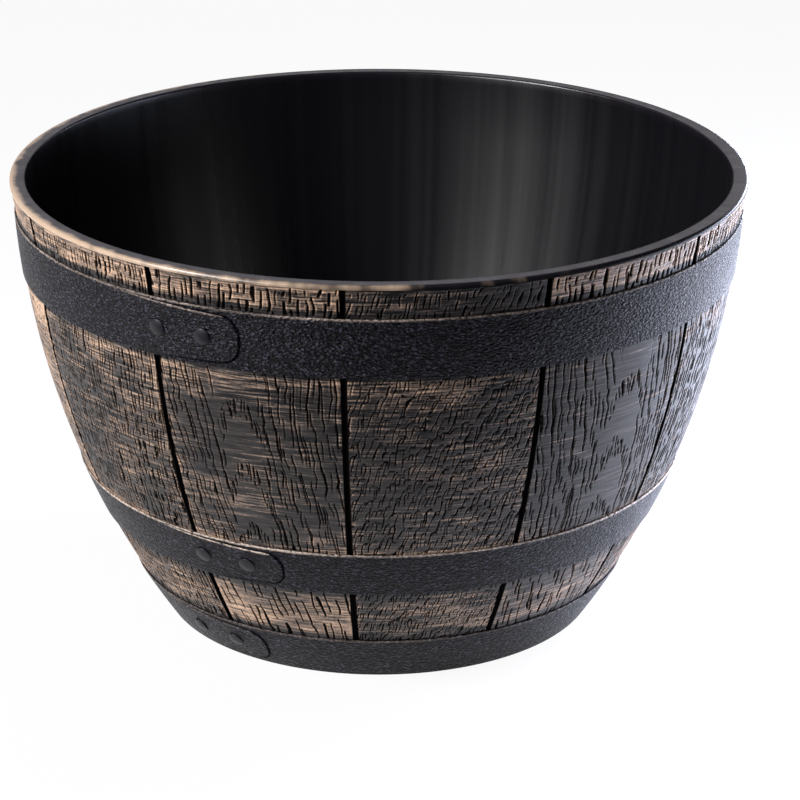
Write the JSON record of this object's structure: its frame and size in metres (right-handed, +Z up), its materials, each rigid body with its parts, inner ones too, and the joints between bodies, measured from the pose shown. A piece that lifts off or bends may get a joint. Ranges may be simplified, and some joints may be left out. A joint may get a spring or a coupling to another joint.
{
  "type": "flower pot",
  "caption": "Round half-barrel flower pot: bowed wood-grained staves bound by riveted hoops around a smooth inner pot with a flat lip and a drained floor.",
  "frame": {"origin": "on the floor, at the centre of the pot's base", "axes": "+Z up along the pot's axis, -Y the front that the picture shows, +X to the right of it"},
  "size_m": [0.3299, 0.33, 0.205],
  "materials": {
    "liner_plastic": "satin black moulded",
    "stave_plastic": "black with raised wood grain, bronze dry-brushed",
    "hoop_plastic": "charcoal with fine pebble grain",
    "rivet_plastic": "charcoal, worn lighter on the crowns"
  },
  "bodies": {
    "root": {"liner_pot": "liner_plastic", "stave_01": "stave_plastic", "stave_02": "stave_plastic", "stave_03": "stave_plastic", "stave_04": "stave_plastic", "stave_05": "stave_plastic", "stave_06": "stave_plastic", "stave_07": "stave_plastic", "stave_08": "stave_plastic", "stave_09": "stave_plastic", "stave_10": "stave_plastic", "stave_11": "stave_plastic", "stave_12": "stave_plastic", "top_hoop": "hoop_plastic", "middle_hoop": "hoop_plastic", "base_hoop": "hoop_plastic", "top_hoop_rivets": "rivet_plastic", "middle_hoop_rivets": "rivet_plastic", "base_hoop_rivets": "rivet_plastic"}
  },
  "joints": []
}
